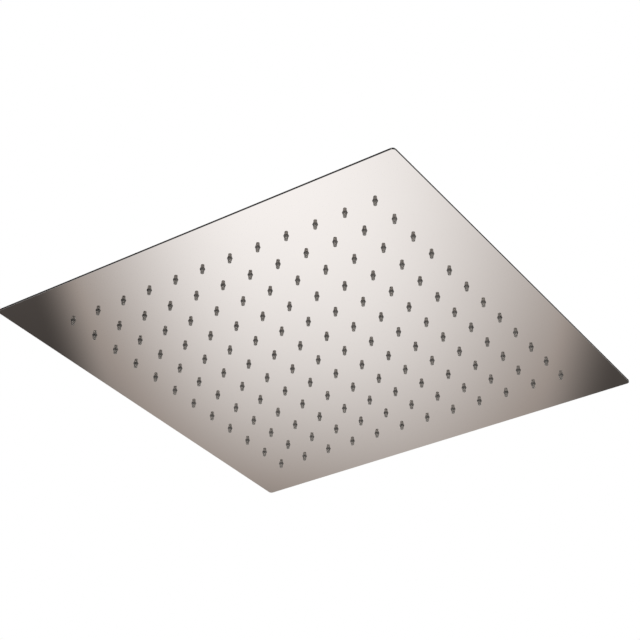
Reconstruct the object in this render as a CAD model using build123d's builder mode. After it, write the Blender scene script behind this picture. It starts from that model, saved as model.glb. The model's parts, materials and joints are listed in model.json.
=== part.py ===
from build123d import *
from math import asin, atan, cos, degrees, radians, sin, tan
import os

# Square rain shower head: two thin steel sheets welded at the rim, a nozzle mat between them,
# and a ball joint on the back that hangs it from a threaded pipe.
# Lengths are millimetres and angles degrees. The origin is the centre of the inlet mouth,
# +Z points up into the supply pipe, and the spray face looks down.

# Nozzle grid
nozzle_count = 12
nozzle_pitch = 28.0
edge_margin = 46.0
nozzle_sides = 8

# Face plate
face_sheet = 1.2
corner_radius = 3.0
edge_break = 0.3
hole_radius = 2.25

# Nozzle mat
mat_thickness = 1.5
mat_margin = 12.0
nozzle_play = 0.1
nozzle_bell = 2.5
nozzle_reach = 4.2
tube_radius = 1.42

# Back pan
pan_sheet = 0.8
tray_rise = 4.5
tray_angle = 45.0
tray_corner = 16.0
tray_gap = 3.0
bend_radius = 1.2
dimple_rows = 3
dimple_cells = 3
dimple_radius = 7.0
dimple_angle = 45.0

# Ball joint
ball_radius = 12.0
ball_foot_radius = 5.5
running_fit = 0.05
ball_room = 0.3
liner_thickness = 1.9
liner_top_angle = 64.0
liner_bottom_angle = 88.0
tilt_limit_angle = 12.0
tilt_spare_angle = 1.0
seal_thickness = 2.4
seal_top_angle = 118.0
seal_bottom_angle = 136.0
seal_play_angle = 0.4

# Ball seat and collar nut
seat_wall = 2.5
seat_floor = 1.0
seat_bore = 6.5
spigot_radius = 9.0
spigot_play = 0.1
flange_radius = 31.0
flange_edge = 1.2
flange_rise = 3.5
thread_play = 0.1
collar_wall = 3.4
collar_gap = 1.0
collar_lip = 1.2
collar_chamfer = 1.4
flute_count = 16
flute_radius = 1.8
flute_depth = 0.7

# Connector and what sits in its inlet
hex_flats = 27.0
hex_chamfer = 0.8
hex_floor = 1.2
neck_length = 17.0
neck_wall = 2.5
waterway_radius = 4.5
thread_bore = 9.315
thread_length = 12.0
relief_depth = 0.6
washer_thickness = 2.5
washer_bore = 5.5
washer_play = 0.1
screen_thickness = 0.4
screen_cells = 5
screen_pitch = 1.9
screen_opening = 1.3
restrictor_radius = 6.4
restrictor_height = 4.0
restrictor_play = 0.1
channel_inner = 2.4
channel_outer = 4.8
channel_depth = 2.6
ring_play = 0.2
ring_height = 1.8
port_count = 6
port_radius = 0.7

# Heights, worked down from the inlet mouth
washer_z = -thread_length
screen_z = washer_z - washer_thickness
socket_floor_z = screen_z - screen_thickness
restrictor_z = socket_floor_z - restrictor_height
hex_bottom_z = restrictor_z - hex_floor
ball_z = hex_bottom_z - neck_length
pan_top_z = ball_z - ball_radius - seat_floor
ceiling_z = pan_top_z - pan_sheet
rim_z = ceiling_z - tray_rise
face_z = rim_z - face_sheet
mat_top_z = rim_z + mat_thickness
flange_top_z = pan_top_z + flange_rise
collar_bottom_z = flange_top_z + collar_gap

# Widths and radii that follow from the sizes above
grid_side = (nozzle_count - 1) * nozzle_pitch
root_radius = hole_radius - nozzle_play
bell_draft = degrees(atan((root_radius - tube_radius) / nozzle_bell))
plate_side = grid_side + 2 * edge_margin
mat_side = grid_side + 2 * mat_margin
chamber_side = mat_side + 2 * tray_gap
outer_bend = bend_radius + pan_sheet
bend_shift = pan_sheet * tan(radians(tray_angle / 2))
tray_side = chamber_side + 2 * bend_shift
chamber_corner = tray_corner - bend_shift
mat_corner = chamber_corner - tray_gap
tray_taper = 90 - tray_angle
dimple_taper = 90 - dimple_angle
dimple_depth = ceiling_z - mat_top_z
dimple_pitch = dimple_cells * nozzle_pitch
dimple_shift = pan_sheet * tan(radians(dimple_angle / 2))
neck_radius = waterway_radius + neck_wall
neck_angle = degrees(asin(neck_radius / ball_radius))
foot_angle = 180 - degrees(asin(ball_foot_radius / ball_radius))
relief_radius = thread_bore + relief_depth
liner_inner = ball_radius + running_fit
liner_outer = liner_inner + liner_thickness
pocket_radius = liner_outer + running_fit
pocket_top_angle = liner_top_angle - tilt_limit_angle - tilt_spare_angle
pocket_bottom_angle = liner_bottom_angle + tilt_limit_angle + tilt_spare_angle
seal_half = cos(radians((seal_bottom_angle - seal_top_angle) / 2))
seal_inner = liner_inner / seal_half
seal_outer = seal_inner + seal_thickness
groove_radius = seal_outer + running_fit
seat_room = ball_radius + ball_room
throat_angle = 180 - degrees(asin(seat_bore / seat_room))
seat_radius = pocket_radius + seat_wall
collar_bore = seat_radius + thread_play
collar_radius = collar_bore + collar_wall
lip_radius = pocket_radius * sin(radians(pocket_top_angle))
collar_top_z = ball_z + pocket_radius * cos(radians(pocket_top_angle)) + collar_lip


def ball_arc(radius, start, end):
    """Arc about the ball's centre, from one angle off the axis to another."""
    return CenterArc((0, ball_z), radius, 90 - start, start - end)


def ball_point(radius, angle):
    """Point at a radius from the ball's centre and an angle off the axis."""
    return (radius * sin(radians(angle)), ball_z + radius * cos(radians(angle)))


# Face plate: mirror-polished sheet with a hole for each nozzle
with BuildPart() as face_plate:
    with BuildSketch(Plane.XY.offset(face_z)):
        RectangleRounded(plate_side, plate_side, corner_radius)
    extrude(amount=face_sheet)
    chamfer(face_plate.faces().sort_by(Axis.Z)[0].edges(), edge_break)
    with BuildSketch(Plane.XY.offset(face_z)):
        with GridLocations(nozzle_pitch, nozzle_pitch, nozzle_count, nozzle_count):
            RegularPolygon(hole_radius, nozzle_sides, major_radius=False)
    extrude(amount=face_sheet, mode=Mode.SUBTRACT)

# One nozzle: a bell that narrows below the face, a short tube, and a root that plugs the hole.
# Round nozzles are drawn with a few flats, because there are so many of them.
with BuildPart() as nozzle:
    with BuildSketch(Plane.XY.offset(face_z)):
        RegularPolygon(root_radius, nozzle_sides, major_radius=False)
    extrude(amount=-nozzle_bell)
    draft(nozzle.faces().filter_by(Axis.Z, reverse=True), Plane.XY.offset(face_z), -bell_draft)
    with BuildSketch(nozzle.faces().sort_by(Axis.Z)[0]):
        RegularPolygon(tube_radius, nozzle_sides, major_radius=False)
    extrude(amount=nozzle_reach - nozzle_bell)
    with BuildSketch(Plane.XY.offset(face_z)):
        RegularPolygon(root_radius, nozzle_sides, major_radius=False)
    extrude(amount=face_sheet)

# Nozzle mat: one silicone moulding that lies on the face plate
with BuildPart() as nozzle_mat:
    with BuildSketch(Plane.XY.offset(rim_z)):
        RectangleRounded(mat_side, mat_side, mat_corner)
    extrude(amount=mat_thickness)
    with GridLocations(nozzle_pitch, nozzle_pitch, nozzle_count, nozzle_count):
        add(nozzle.part)

# Back pan: pressed sheet with a flat rim, a shallow water tray and dimples that hold the mat down
with BuildPart() as back_pan:
    with BuildSketch(Plane.XY.offset(rim_z)):
        RectangleRounded(plate_side, plate_side, corner_radius)
    extrude(amount=pan_sheet)
    chamfer(back_pan.faces().sort_by(Axis.Z)[-1].edges(), edge_break)
    with BuildSketch(Plane.XY.offset(rim_z + pan_sheet)):
        RectangleRounded(tray_side, tray_side, tray_corner)
    extrude(amount=tray_rise, taper=tray_taper)
    fillet(back_pan.edges().filter_by(lambda edge: edge.is_interior), bend_radius)
    fillet(back_pan.faces().sort_by(Axis.Z)[-1].edges(), outer_bend)
    with BuildSketch(Plane.XY.offset(rim_z)):
        RectangleRounded(chamber_side, chamber_side, chamber_corner)
    extrude(amount=tray_rise, taper=tray_taper, mode=Mode.SUBTRACT)
    with BuildSketch(Plane.XY.offset(ceiling_z)):
        with GridLocations(dimple_pitch, dimple_pitch, dimple_rows, dimple_rows):
            Circle(dimple_radius)
        Circle(dimple_radius, mode=Mode.SUBTRACT)
    extrude(amount=-dimple_depth, taper=dimple_taper)
    with BuildSketch(Plane.XY.offset(pan_top_z)):
        with GridLocations(dimple_pitch, dimple_pitch, dimple_rows, dimple_rows):
            Circle(dimple_radius - dimple_shift)
        Circle(dimple_radius, mode=Mode.SUBTRACT)
    extrude(amount=-dimple_depth, taper=dimple_taper, mode=Mode.SUBTRACT)
    fillet(back_pan.faces().sort_by(Axis.Z)[-1].inner_wires().edges(), outer_bend)
    with Locations((0, 0, pan_top_z)):
        Hole(spigot_radius + spigot_play, pan_sheet)

# Ball seat: turned cup on a thin flange, with a spigot that centres it in the pan
with BuildPart() as ball_seat:
    with BuildSketch(Plane.XZ):
        with BuildLine():
            outside = Polyline(
                (seat_bore, ceiling_z),
                (spigot_radius, ceiling_z),
                (spigot_radius, pan_top_z),
                (flange_radius, pan_top_z),
                (flange_radius, pan_top_z + flange_edge),
                (seat_radius, flange_top_z),
                (seat_radius, ball_z),
                (pocket_radius, ball_z),
            )
            pocket = ball_arc(pocket_radius, 90, pocket_bottom_angle)
            Polyline(
                pocket @ 1,
                ball_point(seat_room, pocket_bottom_angle),
                ball_point(seat_room, seal_top_angle),
                ball_point(groove_radius, seal_top_angle),
                ball_point(groove_radius, seal_bottom_angle),
                ball_point(seat_room, seal_bottom_angle),
                ball_point(seat_room, throat_angle),
                outside @ 0,
            )
        make_face()
    revolve(axis=Axis.Z)

# Seat seal: rubber ring in the seat's groove, with a coned face that the ball presses on
with BuildPart() as seat_seal:
    with BuildSketch(Plane.XZ):
        with BuildLine():
            Polyline(
                ball_point(seal_inner, seal_top_angle + seal_play_angle),
                ball_point(seal_outer, seal_top_angle + seal_play_angle),
                ball_point(seal_outer, seal_bottom_angle - seal_play_angle),
                ball_point(seal_inner, seal_bottom_angle - seal_play_angle),
                close=True,
            )
        make_face()
    revolve(axis=Axis.Z)

# Ball liner: slippery plastic ring between the ball and the collar, round about the same centre
with BuildPart() as ball_liner:
    with BuildSketch(Plane.XZ):
        with BuildLine():
            inner = ball_arc(liner_inner, liner_top_angle, liner_bottom_angle)
            outer = ball_arc(liner_outer, liner_top_angle, liner_bottom_angle)
            Line(inner @ 0, outer @ 0)
            Line(inner @ 1, outer @ 1)
        make_face()
    revolve(axis=Axis.Z)

# Collar nut: screws over the seat and closes the pocket above the ball
with BuildPart() as collar_nut:
    with BuildSketch(Plane.XZ):
        with BuildLine():
            outside = Polyline(
                (pocket_radius, ball_z),
                (collar_bore, ball_z),
                (collar_bore, collar_bottom_z),
                (collar_radius, collar_bottom_z),
                (collar_radius, collar_top_z - collar_chamfer),
                (collar_radius - collar_chamfer, collar_top_z),
                (lip_radius + collar_lip, collar_top_z),
                ball_point(pocket_radius, pocket_top_angle),
            )
            ball_arc(pocket_radius, pocket_top_angle, 90)
        make_face()
    revolve(axis=Axis.Z)
    with BuildSketch(Plane.XY.offset(collar_bottom_z)):
        with PolarLocations(collar_radius + flute_radius - flute_depth, flute_count):
            Circle(flute_radius)
    extrude(amount=collar_top_z - collar_bottom_z, mode=Mode.SUBTRACT)

# Ball connector: ball, neck and hexagon turned from one bar, bored for the water and the inlet thread
with BuildPart() as ball_connector:
    with BuildSketch(Plane.XZ):
        with BuildLine():
            ball = ball_arc(ball_radius, foot_angle, neck_angle)
            Polyline(
                ball @ 1,
                (neck_radius, hex_bottom_z),
                (0, hex_bottom_z),
                (0, (ball @ 0).Y),
                ball @ 0,
            )
        make_face()
    revolve(axis=Axis.Z)
    with BuildSketch(Plane.XY.offset(hex_bottom_z)):
        RegularPolygon(hex_flats / 2, 6, major_radius=False)
    extrude(amount=-hex_bottom_z)
    chamfer(ball_connector.faces().sort_by(Axis.Z)[-1].edges(), hex_chamfer)
    Hole(thread_bore, thread_length)
    with BuildSketch(Plane.XY.offset(socket_floor_z)):
        Circle(relief_radius)
    extrude(amount=washer_z - socket_floor_z, mode=Mode.SUBTRACT)
    with Locations((0, 0, socket_floor_z)):
        Hole(restrictor_radius + restrictor_play, restrictor_height)
    Hole(waterway_radius)

# Flow restrictor: plastic disc with a ring channel and ports in the channel's floor
with BuildPart() as flow_restrictor:
    with BuildSketch(Plane.XY.offset(restrictor_z)):
        Circle(restrictor_radius)
    extrude(amount=restrictor_height)
    with BuildSketch(Plane.XY.offset(socket_floor_z)):
        Circle(channel_outer)
        Circle(channel_inner, mode=Mode.SUBTRACT)
    extrude(amount=-channel_depth, mode=Mode.SUBTRACT)
    with BuildSketch(Plane.XY.offset(restrictor_z)):
        with PolarLocations((channel_inner + channel_outer) / 2, port_count):
            Circle(port_radius)
    extrude(amount=restrictor_height - channel_depth, mode=Mode.SUBTRACT)

# Restrictor ring: elastic ring that swells into the channel as the pressure rises
with BuildPart() as restrictor_ring:
    with BuildSketch(Plane.XY.offset(socket_floor_z - channel_depth)):
        Circle(channel_outer - ring_play)
        Circle(channel_inner + ring_play, mode=Mode.SUBTRACT)
    extrude(amount=ring_height)

# Filter screen: woven steel disc on the floor of the inlet
with BuildPart() as filter_screen:
    with BuildSketch(Plane.XY.offset(socket_floor_z)):
        Circle(relief_radius - washer_play)
        with GridLocations(screen_pitch, screen_pitch, screen_cells, screen_cells):
            Rectangle(screen_opening, screen_opening, mode=Mode.SUBTRACT)
    extrude(amount=screen_thickness)

# Inlet washer: rubber ring that the pipe end seals on
with BuildPart() as inlet_washer:
    with BuildSketch(Plane.XY.offset(screen_z)):
        Circle(relief_radius - washer_play)
        Circle(washer_bore, mode=Mode.SUBTRACT)
    extrude(amount=washer_thickness)

# One file for each piece
pieces = {
    "face_plate": face_plate,
    "nozzle_mat": nozzle_mat,
    "back_pan": back_pan,
    "ball_seat": ball_seat,
    "seat_seal": seat_seal,
    "ball_liner": ball_liner,
    "collar_nut": collar_nut,
    "ball_connector": ball_connector,
    "flow_restrictor": flow_restrictor,
    "restrictor_ring": restrictor_ring,
    "filter_screen": filter_screen,
    "inlet_washer": inlet_washer,
}
os.makedirs("parts", exist_ok=True)
for name, piece in pieces.items():
    piece.part.label = name
    export_step(piece.part, f"parts/{name}.step")
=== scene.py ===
import json
from math import asin, cos, pi, radians, sin, sqrt, tan

import bmesh
import bpy
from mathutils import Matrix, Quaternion, Vector


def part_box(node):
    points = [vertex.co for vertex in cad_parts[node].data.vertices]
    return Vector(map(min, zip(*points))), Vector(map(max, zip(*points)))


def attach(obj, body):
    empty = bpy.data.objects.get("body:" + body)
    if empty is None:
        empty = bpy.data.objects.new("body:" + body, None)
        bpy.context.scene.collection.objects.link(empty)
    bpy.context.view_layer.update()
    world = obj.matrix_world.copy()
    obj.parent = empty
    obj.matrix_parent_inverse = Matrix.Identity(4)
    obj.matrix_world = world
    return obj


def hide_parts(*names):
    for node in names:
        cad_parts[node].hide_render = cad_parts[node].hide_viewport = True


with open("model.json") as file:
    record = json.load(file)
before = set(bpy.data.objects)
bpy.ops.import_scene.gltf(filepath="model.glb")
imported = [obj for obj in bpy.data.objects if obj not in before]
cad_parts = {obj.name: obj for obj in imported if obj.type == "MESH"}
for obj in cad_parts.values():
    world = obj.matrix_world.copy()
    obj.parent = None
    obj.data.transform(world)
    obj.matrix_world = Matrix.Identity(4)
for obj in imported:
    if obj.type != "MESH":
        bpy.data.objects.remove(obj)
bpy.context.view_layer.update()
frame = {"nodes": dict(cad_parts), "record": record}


# Face plate: a square of thin stainless sheet, punched with one round hole for each nozzle and
# polished to a mirror. Its lower edge is broken by a fine chamfer, and its rim is welded to the
# back pan all the way round.
face_low, face_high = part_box("face_plate")
plate_half = face_high.x
plate_corner = 0.003
corner_segments = 6
edge_break = 0.0001
nozzle_count = 12
nozzle_pitch = 0.028
grid_half = nozzle_count * nozzle_pitch / 2
first_nozzle = Vector((1, 1, 0)) * nozzle_pitch * (1 - nozzle_count) / 2
hole_radius = 0.00225
hole_sides = 12
hole_break = 0.00008
hair = 0.00001
steel_dark = (0.738, 0.705, 0.685)
steel_light = (0.768, 0.735, 0.715)
face_roughness = (0.025, 0.05)
haze_range = (0.35, 0.65)


def pick(kind, test):
    """Selects the vertices, edges or faces of the open mesh whose middle passes the test."""
    bpy.ops.mesh.select_mode(type=kind)
    bpy.ops.mesh.select_all(action="DESELECT")
    mesh = bmesh.from_edit_mesh(bpy.context.edit_object.data)
    for part in {"VERT": mesh.verts, "EDGE": mesh.edges, "FACE": mesh.faces}[kind]:
        corners = [part] if kind == "VERT" else part.verts
        if test(sum((corner.co for corner in corners), Vector()) / len(corners)):
            part.select_set(True)
    bmesh.update_edit_mesh(bpy.context.edit_object.data)


def open_cell(name, radius, height):
    """Starts a piece from one square of the nozzle grid with a round hole in it, left in edit mode."""
    middle = first_nozzle + Vector((0, 0, height))
    bpy.ops.object.select_all(action="DESELECT")
    bpy.ops.mesh.primitive_circle_add(
        vertices=4, radius=nozzle_pitch / sqrt(2), location=middle, rotation=(0, 0, pi / 4)
    )
    piece = bpy.context.object
    piece.name = name
    bpy.ops.object.transform_apply()
    bpy.ops.object.mode_set(mode="EDIT")
    bpy.ops.mesh.subdivide(number_cuts=hole_sides // 4 - 1)
    bpy.ops.mesh.primitive_circle_add(
        vertices=hole_sides, radius=radius, location=middle, rotation=(0, 0, pi / hole_sides)
    )
    bpy.ops.mesh.select_all(action="SELECT")
    bpy.ops.mesh.bridge_edge_loops()
    return piece


def repeat_cell(piece):
    """Repeats the finished cell over the whole grid, and opens the result in edit mode."""
    bpy.ops.object.mode_set(mode="OBJECT")
    for step in ((nozzle_pitch, 0, 0), (0, nozzle_pitch, 0)):
        rows = piece.modifiers.new("rows", "ARRAY")
        rows.count = nozzle_count
        rows.use_relative_offset = False
        rows.use_constant_offset = True
        rows.constant_offset_displace = step
        rows.use_merge_vertices = True
        rows.merge_threshold = hair
        bpy.ops.object.modifier_apply(modifier=rows.name)
    bpy.ops.object.mode_set(mode="EDIT")


def off_axis(point):
    """Distance from a point to the axis of the nearest nozzle."""
    offsets = [(value / nozzle_pitch) % 1 - 0.5 for value in (point.x, point.y)]
    return nozzle_pitch * sqrt(offsets[0] ** 2 + offsets[1] ** 2)


def on_face(point):
    """True for a point on the plane of the polished face."""
    return abs(point.z - face_low.z) < hair


def on_rim(point):
    """True for a point along the outline of the polished face."""
    return on_face(point) and max(abs(point.x), abs(point.y)) > plate_half - plate_corner


def close_piece(piece, smooth_angle):
    """Turns all faces outwards, leaves edit mode and smooths what is softer than the angle."""
    bpy.ops.mesh.select_all(action="SELECT")
    bpy.ops.mesh.normals_make_consistent(inside=False)
    bpy.ops.object.mode_set(mode="OBJECT")
    bpy.ops.object.shade_smooth_by_angle(angle=radians(smooth_angle))


mirror_plate = open_cell("mirror_plate", hole_radius, face_low.z)
repeat_cell(mirror_plate)
border = plate_half - grid_half
for axis, step in ((0, Vector((border, 0, 0))), (1, Vector((0, border, 0)))):
    for side in (-1, 1):
        pick("EDGE", lambda middle: abs(middle[axis] - side * grid_half) < hair)
        bpy.ops.mesh.extrude_region_move(TRANSFORM_OT_translate={"value": step * side})
pick("VERT", lambda point: min(abs(point.x), abs(point.y)) > plate_half - hair)
bpy.ops.mesh.bevel(offset=plate_corner, segments=corner_segments, affect="VERTICES")
bpy.ops.mesh.select_all(action="SELECT")
bpy.ops.mesh.extrude_region_move(TRANSFORM_OT_translate={"value": (0, 0, face_high.z - face_low.z)})
pick("EDGE", on_rim)
bpy.ops.mesh.bevel(offset=edge_break, segments=1, affect="EDGES")
pick("EDGE", lambda middle: on_face(middle) and off_axis(middle) < hole_radius)
bpy.ops.mesh.bevel(offset=hole_break, segments=1, affect="EDGES")
close_piece(mirror_plate, smooth_angle=35)
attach(mirror_plate, "head")
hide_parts("face_plate")


class Socket:
    """A value that changes over a surface: sums on it add Math nodes to its finish."""

    def __init__(self, finish, socket):
        self.finish = finish
        self.socket = socket

    def maths(self, operation, *values):
        """Adds one Math node."""
        return self.finish.node("ShaderNodeMath", {"operation": operation}, dict(enumerate(values)))

    def __add__(self, other):
        return self.maths("ADD", self, other)

    def __radd__(self, other):
        return self.maths("ADD", other, self)

    def __sub__(self, other):
        return self.maths("SUBTRACT", self, other)

    def __rsub__(self, other):
        return self.maths("SUBTRACT", other, self)

    def __mul__(self, other):
        return self.maths("MULTIPLY", self, other)

    def __rmul__(self, other):
        return self.maths("MULTIPLY", other, self)

    def __truediv__(self, other):
        return self.maths("DIVIDE", self, other)

    def __rtruediv__(self, other):
        return self.maths("DIVIDE", other, self)

    def __pow__(self, other):
        return self.maths("POWER", self, other)

    def __rpow__(self, other):
        return self.maths("POWER", other, self)

    def __gt__(self, other):
        return self.maths("GREATER_THAN", self, other)

    def __lt__(self, other):
        return self.maths("LESS_THAN", self, other)

    def __abs__(self):
        return self.maths("ABSOLUTE", self)


class Finish:
    """The nodes of one material, or of the sky."""

    def __init__(self, owner):
        self.owner = owner
        owner.use_nodes = True
        self.tree = owner.node_tree
        self.tree.nodes.clear()

    def node(self, kind, settings=None, inputs=None, output=0):
        """Adds a node, sets it up, fills or links its sockets, and gives one of its outputs."""
        node = self.tree.nodes.new(kind)
        for name, value in (settings or {}).items():
            if name == "stops":
                for position, colour in value[2:]:
                    node.color_ramp.elements.new(position)
                for element, (position, colour) in zip(node.color_ramp.elements, sorted(value)):
                    element.position = position
                    element.color = (*colour, 1)
            else:
                setattr(node, name, value)
        for name, value in (inputs or {}).items():
            if isinstance(value, Socket):
                self.tree.links.new(value.socket, node.inputs[name])
            elif node.inputs[name].type == "RGBA":
                node.inputs[name].default_value = (*value, 1)
            else:
                node.inputs[name].default_value = value
        return Socket(self, node.outputs[output]) if node.outputs else None

    def place(self):
        """The point on the piece, in its own coordinates."""
        return self.node("ShaderNodeTexCoord", output="Object")

    def noise(self, scale, detail=2.0):
        """Soft random patches, from 0 to 1."""
        inputs = {"Vector": self.place(), "Scale": scale, "Detail": detail}
        return self.node("ShaderNodeTexNoise", {}, inputs)

    def span(self, value, low, high, result_low, result_high, blend="LINEAR"):
        """Takes one span of values to another, and holds it at the ends."""
        inputs = {
            "Value": value,
            "From Min": low,
            "From Max": high,
            "To Min": result_low,
            "To Max": result_high,
        }
        return self.node("ShaderNodeMapRange", {"interpolation_type": blend, "clamp": True}, inputs)

    def fade(self, value, low, high):
        """Goes softly from 0 to 1 between two values."""
        return self.span(value, low, high, 0.0, 1.0, "SMOOTHSTEP")

    def tint(self, amount, first, second):
        """Goes from one colour to another as the amount goes from 0 to 1."""
        # A Mix node has its colours in sockets 6 and 7, and gives their mix in output 2.
        inputs = {0: amount, 6: first, 7: second}
        return self.node("ShaderNodeMix", {"data_type": "RGBA"}, inputs, output=2)

    def relief(self, height, depth):
        """The normal of a surface whose fine relief has this height pattern and depth in metres."""
        inputs = {"Height": height, "Distance": depth, "Strength": 1.0}
        return self.node("ShaderNodeBump", {}, inputs, "Normal")

    def surface(self, **inputs):
        """Ends the material in one shader, whose sockets are named with _ for a space."""
        inputs = {name.replace("_", " "): value for name, value in inputs.items()}
        shader = self.node("ShaderNodeBsdfPrincipled", {}, inputs)
        self.node("ShaderNodeOutputMaterial", {}, {"Surface": shader})
        return self.owner


def dress(piece, material):
    """Gives a piece its one material."""
    piece.data.materials.clear()
    piece.data.materials.append(material)


finish = Finish(bpy.data.materials.new("mirror_steel_face"))
haze = finish.noise(scale=9.0, detail=4.0)
dress(
    mirror_plate,
    finish.surface(
        Base_Color=finish.tint(haze, steel_dark, steel_light),
        Metallic=1.0,
        Roughness=finish.span(haze, *haze_range, *face_roughness),
    ),
)


# Nozzle mat: one moulding of smoky, half-clear silicone that lies on the inside of the face plate.
# Each nozzle is a plug that fills its hole, a bell that narrows below the face and a soft tube with
# a fine bore, which a thumb can rub clean.
mat_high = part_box("nozzle_mat")[1]
mat_under = face_high.z
mat_corner = 0.0127
plug_radius = 0.00218
bore_radius = 0.00045
nozzle_length = 0.0042
# Radius of each ring and its height from the face, down from the root to the tip and up the bore.
nozzle_outline = (
    (0.00216, 0.0),
    (0.00194, -0.0009),
    (0.00170, -0.0017),
    (0.00154, -0.0025),
    (0.00145, -0.0041),
    (0.00134, -nozzle_length),
    (bore_radius, -nozzle_length),
    (bore_radius, -0.0026),
)


def draw_rings(outline, middle, radius, height):
    """Draws the selected ring of edges on through rings of other radii and heights, as on a lathe."""
    for next_radius, next_height in outline:
        bpy.ops.mesh.extrude_region_move(TRANSFORM_OT_translate={"value": (0, 0, next_height - height)})
        growth = next_radius / radius
        bpy.ops.transform.resize(value=(growth, growth, 1), center_override=middle)
        radius, height = next_radius, next_height


rubber_nozzles = open_cell("rubber_nozzles", plug_radius, mat_under)
pick("EDGE", lambda middle: off_axis(middle) < hole_radius)
nozzle_rings = [(radius, face_low.z + height) for radius, height in nozzle_outline]
draw_rings(nozzle_rings, first_nozzle, plug_radius, mat_under)
bpy.ops.mesh.edge_face_add()
repeat_cell(rubber_nozzles)
for side_x, side_y in ((1, 1), (-1, 1), (-1, -1), (1, -1)):
    arc_middle = Vector((side_x, side_y, 0)) * (mat_high.x - mat_corner)
    for step in range(corner_segments + 1):
        turn = pi / 2 * step / corner_segments
        outwards = Vector((side_x * cos(turn), side_y * sin(turn), 0))
        edge_point = arc_middle + outwards * mat_corner
        bpy.ops.mesh.select_all(action="SELECT")
        bpy.ops.mesh.bisect(plane_co=edge_point, plane_no=outwards, clear_outer=True)
bpy.ops.mesh.select_mode(type="EDGE")
bpy.ops.mesh.select_all(action="DESELECT")
bpy.ops.mesh.select_non_manifold(
    use_wire=False, use_multi_face=False, use_non_contiguous=False, use_verts=False
)
bpy.ops.mesh.extrude_region_move(TRANSFORM_OT_translate={"value": (0, 0, mat_high.z - mat_under)})
bpy.ops.mesh.edge_face_add()
close_piece(rubber_nozzles, smooth_angle=40)
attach(rubber_nozzles, "head")
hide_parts("nozzle_mat")

# Partly because the thin tube lets more light through than the thick root, the silicone looks paler
# towards its tip.
# The dark root colour is also painted shade, where the nozzle meets the plate.
shaded_root_colour = (0.38, 0.354, 0.331)
tip_colour = (0.644, 0.61, 0.569)
root_shade_drop = 0.0022
patchiness = 0.4
grain_range = (0.3, 0.7)
nozzle_roughness = (0.3, 0.42)
clearness = 0.68
silicone_ior = 1.41


def coordinate(finish, axis):
    """The point's place on the piece along one axis."""
    return finish.node("ShaderNodeSeparateXYZ", {}, {0: finish.place()}, axis)


finish = Finish(bpy.data.materials.new("smoky_silicone"))
bloom = finish.noise(scale=900.0, detail=3.0)
# Painted shade: the colour is darkest at the face, where the nozzle meets the plate, and pales below
# it.
thin_and_unshaded = finish.fade(coordinate(finish, "Z"), face_low.z, face_low.z - root_shade_drop)
paleness = thin_and_unshaded * (1 - patchiness / 2 + patchiness * bloom)
dress(
    rubber_nozzles,
    finish.surface(
        Base_Color=finish.tint(paleness, shaded_root_colour, tip_colour),
        Roughness=finish.span(bloom, *grain_range, *nozzle_roughness),
        Transmission_Weight=clearness,
        IOR=silicone_ior,
    ),
)


# Back pan: one pressed stainless sheet with a shallow tray that holds the water, eight dimples that
# press the nozzle mat down and a flat rim that is welded to the face plate. It is polished like the
# face, a little less bright.
pan_roughness = (0.06, 0.13)
finish = Finish(bpy.data.materials.new("polished_steel_back"))
haze = finish.noise(scale=14.0, detail=5.0)
dress(
    frame["nodes"]["back_pan"],
    finish.surface(
        Base_Color=finish.tint(haze, steel_dark, steel_light),
        Metallic=1.0,
        Roughness=finish.span(haze, *haze_range, *pan_roughness),
    ),
)


# Ball seat: a stainless cup on a thin flange, turned on a lathe, so fine rings run round it. It is
# welded to the middle of the pan, and its throat lets the water into the tray.
turned_dark = (0.66, 0.65, 0.63)
turned_light = (0.73, 0.72, 0.70)
turned_roughness = (0.16, 0.3)
ring_spacing = 0.0006
ring_depth = 0.00001


def off_centre(finish):
    """Distance from the point on the piece to the piece's upright axis."""
    inputs = {0: finish.place(), 1: (1, 1, 0)}
    level = finish.node("ShaderNodeVectorMath", {"operation": "MULTIPLY"}, inputs)
    return finish.node("ShaderNodeVectorMath", {"operation": "LENGTH"}, {0: level}, "Value")


def ring_marks(finish, spacing):
    """Fine turned rings about the upright axis, from 0 to 1."""
    inputs = {"W": off_centre(finish), "Scale": 1 / spacing, "Detail": 3.0}
    return finish.node("ShaderNodeTexNoise", {"noise_dimensions": "1D"}, inputs)


finish = Finish(bpy.data.materials.new("turned_steel"))
rings = ring_marks(finish, ring_spacing)
dress(
    frame["nodes"]["ball_seat"],
    finish.surface(
        Base_Color=finish.tint(rings, turned_dark, turned_light),
        Metallic=1.0,
        Roughness=finish.span(rings, *grain_range, *turned_roughness),
        Normal=finish.relief(rings, ring_depth),
    ),
)


# Seals: a ring in the seat's groove under the ball, a washer at the bottom of the inlet socket and
# an elastic ring in the flow restrictor. All are moulded black rubber, held by what is round them.
rubber_dark = (0.03, 0.03, 0.03)
rubber_light = (0.052, 0.051, 0.05)
rubber_roughness = (0.5, 0.7)
rubber_grain = 0.00002
finish = Finish(bpy.data.materials.new("moulded_rubber"))
bloom = finish.noise(scale=1200.0, detail=3.0)
moulded_rubber = finish.surface(
    Base_Color=finish.tint(bloom, rubber_dark, rubber_light),
    Roughness=finish.span(bloom, *grain_range, *rubber_roughness),
    Normal=finish.relief(finish.noise(scale=5000.0), rubber_grain),
)
for name in ("seat_seal", "inlet_washer", "restrictor_ring"):
    dress(frame["nodes"][name], moulded_rubber)


# Collar nut: fluted brass with bright chrome on it. It screws over the seat and closes the pocket
# above the ball, and its flutes give the fingers a grip.
chrome_dark = (0.76, 0.765, 0.775)
chrome_light = (0.80, 0.80, 0.81)
chrome_roughness = (0.03, 0.07)
chrome_haze = 160.0
finish = Finish(bpy.data.materials.new("bright_chrome"))
haze = finish.noise(scale=chrome_haze, detail=4.0)
dress(
    frame["nodes"]["collar_nut"],
    finish.surface(
        Base_Color=finish.tint(haze, chrome_dark, chrome_light),
        Metallic=1.0,
        Roughness=finish.span(haze, *haze_range, *chrome_roughness),
    ),
)


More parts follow.
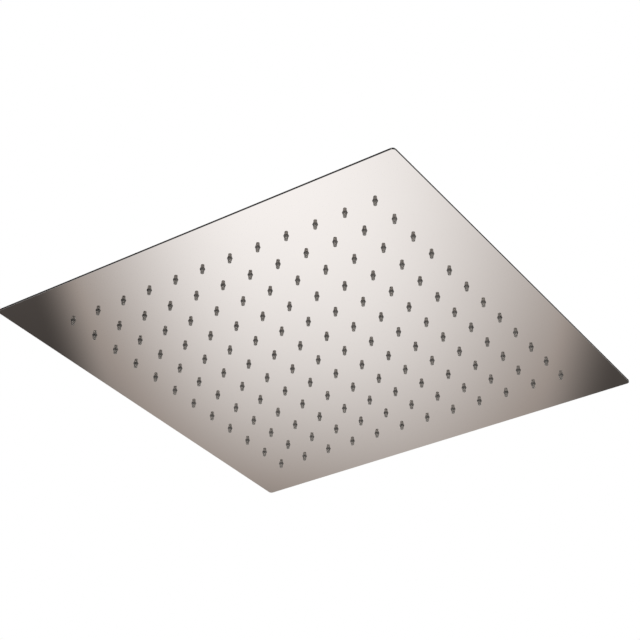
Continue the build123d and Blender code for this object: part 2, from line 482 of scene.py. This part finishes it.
# Ball connector: one piece of brass, turned and milled from hexagon bar and then chromed outside. Its
# ball hangs in the seat, its hexagon takes a wrench, and its bare socket has the inlet thread.
connector_low, connector_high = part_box("ball_connector")
screen_low, screen_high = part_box("filter_screen")
washer_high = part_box("inlet_washer")[1]
restrictor_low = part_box("flow_restrictor")[0]
hexagon_corner = connector_high.x
turned_face = 0.0132
chamfer_angle = radians(30)
chamfer_drop = (hexagon_corner - turned_face) * tan(chamfer_angle)
ball_height = frame["record"]["behaviour"]["joints"][0]["pos_m"][2]
ball_radius = 0.012
neck_length = 0.017
neck_radius = 0.007
neck_round = 0.0012
hexagon_bottom = ball_height + neck_length
foot_radius = 0.0055
foot_break = 0.0004
ball_top = asin(neck_radius / ball_radius)
ball_foot = pi - asin(foot_radius / ball_radius)
waterway_radius = 0.0045
pocket_radius = 0.0065
relief_radius = 0.009915
thread_crest = 0.009315
mouth_radius = 0.0109
turned_sides = 64
ball_steps = 28
neck_steps = 4


def arc(middle, radius, start, end, steps):
    """Points of a round stretch of an outline, by angles from the upright axis."""
    angles = [start + (end - start) * step / steps for step in range(steps + 1)]
    return [(middle[0] + radius * sin(angle), middle[1] + radius * cos(angle)) for angle in angles]


def carve(piece, tool, operation):
    """Cuts one closed shape by another, and takes the tool away."""
    cut = piece.modifiers.new("cut", "BOOLEAN")
    cut.operation = operation
    cut.object = tool
    cut.solver = "EXACT"
    bpy.ops.object.select_all(action="DESELECT")
    bpy.context.view_layer.objects.active = piece
    bpy.ops.object.modifier_apply(modifier=cut.name)
    bpy.data.objects.remove(tool)


connector_outline = [
    (hexagon_corner, -chamfer_drop),
    (hexagon_corner, hexagon_bottom + chamfer_drop),
    (turned_face, hexagon_bottom),
    *arc((neck_radius + neck_round, hexagon_bottom - neck_round), neck_round, 0, -pi / 2, neck_steps),
    *arc((0, ball_height), ball_radius, ball_top, ball_foot, ball_steps),
    (waterway_radius + foot_break, connector_low.z),
    (waterway_radius, connector_low.z + foot_break),
    (waterway_radius, restrictor_low.z),
    (pocket_radius, restrictor_low.z),
    (pocket_radius, screen_low.z),
    (relief_radius, screen_low.z),
    (relief_radius, washer_high.z),
    (thread_crest, washer_high.z),
    (thread_crest, thread_crest - mouth_radius),
    (mouth_radius, 0),
    (turned_face, 0),
]
bpy.ops.object.select_all(action="DESELECT")
bpy.ops.mesh.primitive_circle_add(vertices=turned_sides, radius=turned_face)
threaded_connector = bpy.context.object
threaded_connector.name = "threaded_connector"
bpy.ops.object.mode_set(mode="EDIT")
draw_rings(connector_outline, (0, 0, 0), turned_face, 0)
bpy.ops.mesh.select_all(action="SELECT")
bpy.ops.mesh.remove_doubles(threshold=hair)
close_piece(threaded_connector, smooth_angle=25)

# The bar's hexagon, with its long edges just rounded, leaves six flats on the turned shape.
bar_length = 0.12
bar_round = 0.00035
bpy.ops.object.select_all(action="DESELECT")
bpy.ops.mesh.primitive_cylinder_add(
    vertices=6, radius=hexagon_corner, depth=bar_length, rotation=(0, 0, pi / 6)
)
hexagon_bar = bpy.context.object
bpy.ops.object.transform_apply()
bpy.ops.object.mode_set(mode="EDIT")
pick("EDGE", lambda middle: abs(middle.z) < hair)
bpy.ops.mesh.bevel(offset=bar_round, segments=3, affect="EDGES")
bpy.ops.object.mode_set(mode="OBJECT")
carve(threaded_connector, hexagon_bar, "INTERSECT")

# The tap that cuts the thread: a row of teeth, turned once while it rises by one pitch.
thread_root = 0.010478
thread_pitch = 0.001814
thread_flat = 0.0003
tap_overlap = 0.00006
tap_clearance = 0.0006
spare_turns = 2
tooth_low = thread_crest - tap_overlap
tooth_height = thread_root - tooth_low
tooth_flank = thread_pitch / 2 - thread_flat
tooth = (
    (0, thread_flat),
    (tooth_height, tooth_flank),
    (0, thread_flat),
    (-tooth_height, tooth_flank),
)
tap_bottom = washer_high.z + tap_clearance
tap_top = tap_clearance
tap_turns = int((tap_top - tap_bottom) / thread_pitch) + 2 * spare_turns
tap_start = (tooth_low, 0, tap_bottom - spare_turns * thread_pitch)
bpy.ops.mesh.primitive_plane_add(size=thread_pitch, location=tap_start)
tap = bpy.context.object
bpy.ops.object.transform_apply()
bpy.ops.object.mode_set(mode="EDIT")
pick("VERT", lambda point: True)
bpy.ops.mesh.merge(type="CENTER")
for turn in range(tap_turns):
    for outwards, upwards in tooth:
        bpy.ops.mesh.extrude_vertices_move(TRANSFORM_OT_translate={"value": (outwards, 0, upwards)})
bpy.ops.object.mode_set(mode="OBJECT")
rise = tap.modifiers.new("rise", "SCREW")
rise.axis = "Z"
rise.angle = 2 * pi
rise.screw_offset = thread_pitch
rise.steps = turned_sides
rise.render_steps = turned_sides
bpy.ops.object.modifier_apply(modifier=rise.name)
bpy.ops.object.mode_set(mode="EDIT")
bpy.ops.mesh.select_all(action="SELECT")
bpy.ops.mesh.remove_doubles(threshold=hair)
for height, side in ((tap_bottom, -1), (tap_top, 1)):
    bpy.ops.mesh.select_all(action="SELECT")
    bpy.ops.mesh.bisect(plane_co=(0, 0, height), plane_no=(0, 0, side), use_fill=True, clear_outer=True)
close_piece(tap, smooth_angle=25)
carve(threaded_connector, tap, "DIFFERENCE")
bpy.ops.object.mode_set(mode="EDIT")
close_piece(threaded_connector, smooth_angle=25)
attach(threaded_connector, "connector")
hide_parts("ball_connector")

# Chrome covers the outside, and the socket shows the brass.
brass_dark = (0.62, 0.47, 0.24)
brass_light = (0.72, 0.56, 0.31)
brass_dullness = 0.2
chrome_edge = 0.0004
finish = Finish(bpy.data.materials.new("chromed_brass"))
haze = finish.noise(scale=chrome_haze, detail=4.0)
inside = finish.span(off_centre(finish), mouth_radius - chrome_edge, mouth_radius, 1.0, 0.0)
inside = inside * (coordinate(finish, "Z") > restrictor_low.z - hair)
chrome = finish.tint(haze, chrome_dark, chrome_light)
brass = finish.tint(haze, brass_dark, brass_light)
dress(
    threaded_connector,
    finish.surface(
        Base_Color=finish.tint(inside, chrome, brass),
        Metallic=1.0,
        Roughness=finish.span(haze, *haze_range, *chrome_roughness) + brass_dullness * inside,
    ),
)


# Ball liner: a ring of white slippery plastic between the ball and the collar. It is moulded,
# snaps over the ball and slides a little each way as the head tilts.
acetal_dark = (0.80, 0.80, 0.78)
acetal_light = (0.86, 0.86, 0.845)
acetal_roughness = (0.28, 0.4)
finish = Finish(bpy.data.materials.new("white_acetal"))
cloud = finish.noise(scale=300.0, detail=3.0)
dress(
    frame["nodes"]["ball_liner"],
    finish.surface(
        Base_Color=finish.tint(cloud, acetal_dark, acetal_light),
        Roughness=finish.span(cloud, *grain_range, *acetal_roughness),
    ),
)


# Flow restrictor: a moulded green plastic disc with a ring channel and small ports, dropped into
# a pocket in the floor of the inlet socket.
green_dark = (0.18, 0.42, 0.22)
green_light = (0.22, 0.48, 0.26)
green_roughness = (0.35, 0.5)
finish = Finish(bpy.data.materials.new("green_plastic"))
cloud = finish.noise(scale=700.0, detail=3.0)
dress(
    frame["nodes"]["flow_restrictor"],
    finish.surface(
        Base_Color=finish.tint(cloud, green_dark, green_light),
        Roughness=finish.span(cloud, *grain_range, *green_roughness),
    ),
)


# Filter screen: a disc of woven stainless wire, pressed into a flat steel rim. It lies on the floor
# of the socket, under the washer, and keeps grit out of the nozzles.
wire_radius = 0.000094
wire_sides = 6
wire_sway = (screen_high.z - screen_low.z) / 2 - wire_radius
wire_pitch = 0.00095
wire_count = 11
wire_steps = 4
spare_pitches = 3
wire_reach = wire_pitch * (wire_count + spare_pitches) / 2
first_wire = wire_pitch * (1 - wire_count) / 2
screen_middle = Vector((0, 0, (screen_low.z + screen_high.z) / 2))
mesh_radius = 0.0055
punch_depth = 0.002
rim_inner = 0.0054
rim_outer = screen_high.x
wire_dark = (0.56, 0.56, 0.55)
wire_light = (0.68, 0.68, 0.67)
wire_roughness = (0.2, 0.34)
bpy.ops.object.select_all(action="DESELECT")
bpy.ops.mesh.primitive_circle_add(
    vertices=wire_sides,
    radius=wire_radius,
    fill_type="NGON",
    location=screen_middle + Vector((-wire_reach, first_wire, wire_sway)),
    rotation=(0, pi / 2, 0),
)
woven_screen = bpy.context.object
woven_screen.name = "woven_screen"
bpy.ops.object.transform_apply()
bpy.ops.object.mode_set(mode="EDIT")
pick("FACE", lambda middle: True)
for step in range(int(2 * wire_reach / wire_pitch * wire_steps)):
    dip = cos(pi * (step + 1) / wire_steps) - cos(pi * step / wire_steps)
    bpy.ops.mesh.extrude_region_move(
        TRANSFORM_OT_translate={"value": (wire_pitch / wire_steps, 0, wire_sway * dip)}
    )
bpy.ops.mesh.select_all(action="SELECT")
for wire in range(1, wire_count):
    shift = wire_pitch if wire % 2 else -wire_pitch
    bpy.ops.mesh.duplicate_move(TRANSFORM_OT_translate={"value": (shift, wire_pitch, 0)})

# The cross wires are the same set, turned and moved on by one wire so that they pass over and under.
bpy.ops.mesh.select_all(action="SELECT")
bpy.ops.mesh.duplicate_move(TRANSFORM_OT_translate={"value": (wire_pitch, 0, 0)})
bpy.ops.transform.rotate(value=pi / 2, orient_axis="Z", center_override=screen_middle)
bpy.ops.object.mode_set(mode="OBJECT")
bpy.ops.mesh.primitive_cylinder_add(
    vertices=turned_sides, radius=mesh_radius, depth=punch_depth, location=screen_middle
)
carve(woven_screen, bpy.context.object, "INTERSECT")
bpy.ops.object.mode_set(mode="EDIT")
bpy.ops.mesh.select_mode(type="EDGE")
rim_start = (0, 0, screen_high.z)
bpy.ops.mesh.primitive_circle_add(vertices=turned_sides, radius=rim_inner, location=rim_start)
rim_outline = [
    (rim_outer, screen_high.z),
    (rim_outer, screen_low.z),
    (rim_inner, screen_low.z),
    (rim_inner, screen_high.z),
]
draw_rings(rim_outline, screen_middle, rim_inner, screen_high.z)
pick("VERT", lambda point: abs(point.z - screen_high.z) < hair and point.xy.length > rim_inner - hair)
bpy.ops.mesh.remove_doubles(threshold=hair)
close_piece(woven_screen, smooth_angle=40)
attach(woven_screen, "connector")
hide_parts("filter_screen")

finish = Finish(bpy.data.materials.new("woven_wire"))
drawn = finish.noise(scale=2500.0)
dress(
    woven_screen,
    finish.surface(
        Base_Color=finish.tint(drawn, wire_dark, wire_light),
        Metallic=1.0,
        Roughness=finish.span(drawn, *grain_range, *wire_roughness),
    ),
)


# Studio: a pale floor well below the hanging head, a white sky and soft lamps. The floor turns to the
# sky's white far out, so that no horizon shows. Polished metal and clear silicone see both of them
# graded from pale to grey, which gives contrast from every side.
floor_depth = 1.75
floor_side = 16.0
floor_colour = (0.88, 0.88, 0.875)
white_fade = (2.0, 6.5)
floor_greys = ((0.0, 1.0), (0.05, 0.97), (0.2, 0.64), (0.6, 0.6), (1.0, 0.9))
floor_brightest = (-0.7, 0.9, 0.0)
floor_trough = 0.45
wave_count = 6
wave_turn = pi / 4
wave_fade = (0.8, 3.0)
bpy.ops.object.select_all(action="DESELECT")
bpy.ops.mesh.primitive_plane_add(size=floor_side, location=(0, 0, -floor_depth))
floor = bpy.context.object
floor.name = "floor"


def swell(finish, place, trough):
    """Goes between 1 and a darker value, the trough, in waves round the upright axis."""
    across, along = (finish.node("ShaderNodeSeparateXYZ", {}, {0: place}, axis) for axis in "XY")
    heading = across.maths("ARCTAN2", along, across)
    wave = heading.maths("COSINE", wave_count * heading + wave_turn)
    return (1 + trough) / 2 + wave * ((1 - trough) / 2)


def grey_ramp(finish, greys, value):
    """Takes a value from 0 to 1 through a row of greys, each given after its place on the way."""
    stops = [(position, (grey,) * 3) for position, grey in greys]
    return finish.node("ShaderNodeValToRGB", {"stops": stops}, {0: value})


def shade(finish, colour, brightness):
    """Darkens a colour to a brightness from 0 to 1."""
    settings = {"data_type": "RGBA", "blend_type": "MULTIPLY"}
    return finish.node("ShaderNodeMix", settings, {0: 1.0, 6: colour, 7: brightness}, output=2)


finish = Finish(bpy.data.materials.new("pale_floor"))
distance = off_centre(finish)
plain = finish.node("ShaderNodeBsdfDiffuse", {}, {"Color": floor_colour})
white = finish.node("ShaderNodeEmission", {}, {"Color": (1, 1, 1), "Strength": 1.0})
whiteness = finish.fade(distance, *white_fade)
seen = finish.node("ShaderNodeMixShader", {}, {0: whiteness, 1: plain, 2: white})
inputs = {0: finish.place(), 1: floor_brightest}
from_bright = finish.node("ShaderNodeVectorMath", {"operation": "DISTANCE"}, inputs, "Value")
graded = grey_ramp(finish, floor_greys, from_bright / (floor_side / 2))
darkening = 1 - swell(finish, finish.place(), floor_trough)
graded = shade(finish, graded, 1 - finish.fade(distance, *wave_fade) * darkening)
mirrored = finish.node("ShaderNodeEmission", {}, {"Color": graded, "Strength": 1.0})
glossy = finish.node("ShaderNodeLightPath", output="Is Glossy Ray")
clear = finish.node("ShaderNodeLightPath", output="Is Transmission Ray")
mixed = finish.node("ShaderNodeMixShader", {}, {0: glossy + clear, 1: seen, 2: mirrored})
finish.node("ShaderNodeOutputMaterial", {}, {"Surface": mixed})
dress(floor, finish.owner)

# The sky is white to the camera, sheds a softer light, and shows its greys to metal and silicone. Its
# waves die out overhead.
sky_white = (1, 1, 1)
sky_light = (0.6, 0.6, 0.6)
sky_greys = (
    (0.0, 1.0),
    (0.25, 0.95),
    (0.55, 0.8),
    (0.8, 0.7),
    (0.93, 0.65),
    (0.985, 0.85),
    (1.0, 1.0),
)
sky_axis = Vector((0.14, -0.18, 1.0)).normalized()
sky_trough = 0.4
overhead_power = 4.0
sky = Finish(bpy.data.worlds.new("studio"))
seen, glossy, clear = (
    sky.node("ShaderNodeLightPath", output=f"Is {kind} Ray")
    for kind in ("Camera", "Glossy", "Transmission")
)
direction = sky.node("ShaderNodeTexCoord", output="Generated")
inputs = {0: direction, 1: sky_axis}
upwards = sky.node("ShaderNodeVectorMath", {"operation": "DOT_PRODUCT"}, inputs, "Value")
graded = grey_ramp(sky, sky_greys, upwards)
swelling = swell(sky, direction, sky_trough)
graded = shade(sky, graded, swelling.maths("MAXIMUM", swelling, upwards ** overhead_power))
plain = sky.tint(seen, sky_light, sky_white)
colour = sky.tint(glossy + clear, plain, graded)
light = sky.node("ShaderNodeBackground", {}, {"Color": colour, "Strength": 1.0})
sky.node("ShaderNodeOutputWorld", {}, {"Surface": light})
bpy.context.scene.world = sky.owner

# Three soft lamps stand above, to one side and below, and the metal doesn't mirror them.
for name, place, size, power in (
    ("overhead_lamp", (0.3, -0.2, 2.0), 1.8, 12.0),
    ("side_lamp", (-1.6, -1.2, 1.0), 1.2, 6.0),
    ("fill_lamp", (0.9, -1.2, -0.95), 0.5, 2.0),
):
    lamp = bpy.data.objects.new(name, bpy.data.lights.new(name, "AREA"))
    lamp.data.size = size
    lamp.data.energy = power
    lamp.location = place
    lamp.rotation_euler = (-Vector(place)).to_track_quat("-Z", "Y").to_euler()
    lamp.visible_glossy = False
    bpy.context.collection.objects.link(lamp)


# Camera: a long lens below the head, out past one corner of the plate and looking up at the polished
# face, as in the photograph. That near corner is at the top of the picture.
view_aim = Vector((0.02373, -0.03857, face_low.z))
view_azimuth = radians(34.845)
view_elevation = radians(-33.178)
view_distance = 1.4279
view_roll = radians(0.941)
back = Vector(
    (
        sin(view_azimuth) * cos(view_elevation),
        -cos(view_azimuth) * cos(view_elevation),
        sin(view_elevation),
    )
)
camera = bpy.data.objects.new("camera", bpy.data.cameras.new("camera"))
camera.data.sensor_width = 36.0
camera.data.lens = 93.903
camera.location = view_aim + back * view_distance
camera.rotation_mode = "QUATERNION"
camera.rotation_quaternion = (-back).to_track_quat("-Z", "Y") @ Quaternion((0, 0, 1), view_roll)
bpy.context.collection.objects.link(camera)
bpy.context.scene.camera = camera


# Light card: a graded card under the head that only polished metal and clear silicone see. Mirrored in
# the face, its bright ridge points to the near corner and falls off to the sides and the far corner,
# as in the photograph. The ridge's sizes are those on the face, and the card is larger by its stretch.
card_drop = 1.1
card_half = 1.25
card_turn = pi / 4
card_fade = (0.85, 1.2)
card_strength = 1.28
card_stops = [(0.0, (0.0, 0.0, 0.0)), (0.3, (0.335, 0.3, 0.277)), (1.0, (1.0, 1.0, 1.0))]
ridge_shift = 0.032
ridge_slope = 0.228
ridge_width = 0.168
ridge_power = 2.4
ridge_edge = (0.166, 0.216)
ridge_length = (-0.24, 0.565)
ridge_glow = 0.878
side_glow = 0.08
right_widening = 0.288
stretch = 1 + card_drop / (face_low.z - camera.location.z)
card_place = Vector((camera.location.x, camera.location.y, 0)) * (1 - stretch)
card_place.z = face_low.z - card_drop
bpy.ops.object.select_all(action="DESELECT")
bpy.ops.mesh.primitive_plane_add(size=2 * card_half, location=card_place, rotation=(0, 0, card_turn))
card = bpy.context.object
card.name = "light_card"
finish = Finish(bpy.data.materials.new("graded_card"))
across = coordinate(finish, "X") / stretch
along = coordinate(finish, "Y") / stretch
off_ridge = across + ridge_shift - ridge_slope * along
spread = abs(off_ridge) * (1 - right_widening * (off_ridge > 0.0))
bell = spread.maths("EXPONENT", -1.0 * (spread / ridge_width) ** ridge_power)
edge = finish.span(spread, *ridge_edge, 1.0, 0.0, "SMOOTHSTEP")
length_fall = finish.span(along, *ridge_length, ridge_glow, 0.0, "SMOOTHSTEP")
glow = length_fall * (bell * edge + side_glow)
colour = finish.node("ShaderNodeValToRGB", {"stops": card_stops}, {0: glow})
shine = finish.node("ShaderNodeEmission", {}, {"Color": colour, "Strength": card_strength})
clear = finish.node("ShaderNodeBsdfTransparent")
open_rim = finish.fade(off_centre(finish), *card_fade)
mixed = finish.node("ShaderNodeMixShader", {}, {0: open_rim, 1: shine, 2: clear})
finish.node("ShaderNodeOutputMaterial", {}, {"Surface": mixed})
dress(card, finish.owner)
card.visible_camera = False
card.visible_diffuse = False
card.visible_shadow = False


# Black flags: three upright cards stand round the head, to its right, to its left and over the camera.
# Mirrored in the polished metal, they draw the dark lines along the rim of the plate. Two small cards
# close to its left and right corners are not mirrored, and only keep light off the nozzles there.
flag_colour = (0.05, 0.05, 0.05)
flag_fade = (0.35, 0.5)
flag_distance = 1.5
corner_flag_side = 0.36
finish = Finish(bpy.data.materials.new("black_flag"))
open_rims = [finish.fade(abs(coordinate(finish, axis)), *flag_fade) for axis in "XY"]
open_rim = open_rims[0].maths("MAXIMUM", *open_rims)
black = finish.node("ShaderNodeBsdfDiffuse", {}, {"Color": flag_colour})
clear = finish.node("ShaderNodeBsdfTransparent")
mixed = finish.node("ShaderNodeMixShader", {}, {0: open_rim, 1: black, 2: clear})
finish.node("ShaderNodeOutputMaterial", {}, {"Surface": mixed})
black_flag = finish.owner


def add_flag(name, place, facing, width, height):
    """Adds a black card that the camera doesn't see, at a place and facing a direction."""
    turned = facing.to_track_quat("Z", "Y").to_euler()
    bpy.ops.object.select_all(action="DESELECT")
    bpy.ops.mesh.primitive_plane_add(size=1.0, location=place, rotation=turned)
    flag = bpy.context.object
    flag.name = name
    flag.scale = (width, height, 1)
    dress(flag, black_flag)
    flag.visible_camera = False
    return flag


for name, turn, width, low, high in (
    ("flag_right", 0.0, 2.0, 0.54, 1.35),
    ("flag_above", pi / 2, 3.4, 0.55, 1.45),
    ("flag_left", pi, 2.0, 0.63, 1.25),
):
    heading = view_azimuth + turn
    outwards = Vector((sin(heading), cos(heading), 0))
    place = outwards * flag_distance + Vector((0, 0, (low + high) / 2))
    flag = add_flag(name, place, outwards, width, high - low)
    flag.visible_diffuse = False
    flag.visible_shadow = False

for name, side, facing, reach in (
    ("corner_flag_left", -1, Vector((0.0, -0.9, -0.45)), 0.11),
    ("corner_flag_right", 1, Vector((0.9, 0.0, -0.45)), 0.2),
):
    corner_nozzle = -side * first_nozzle + Vector((0, 0, face_low.z))
    place = corner_nozzle + facing.normalized() * reach
    flag = add_flag(name, place, facing, corner_flag_side, corner_flag_side)
    flag.visible_glossy = False

bpy.context.scene.view_settings.view_transform = "Standard"
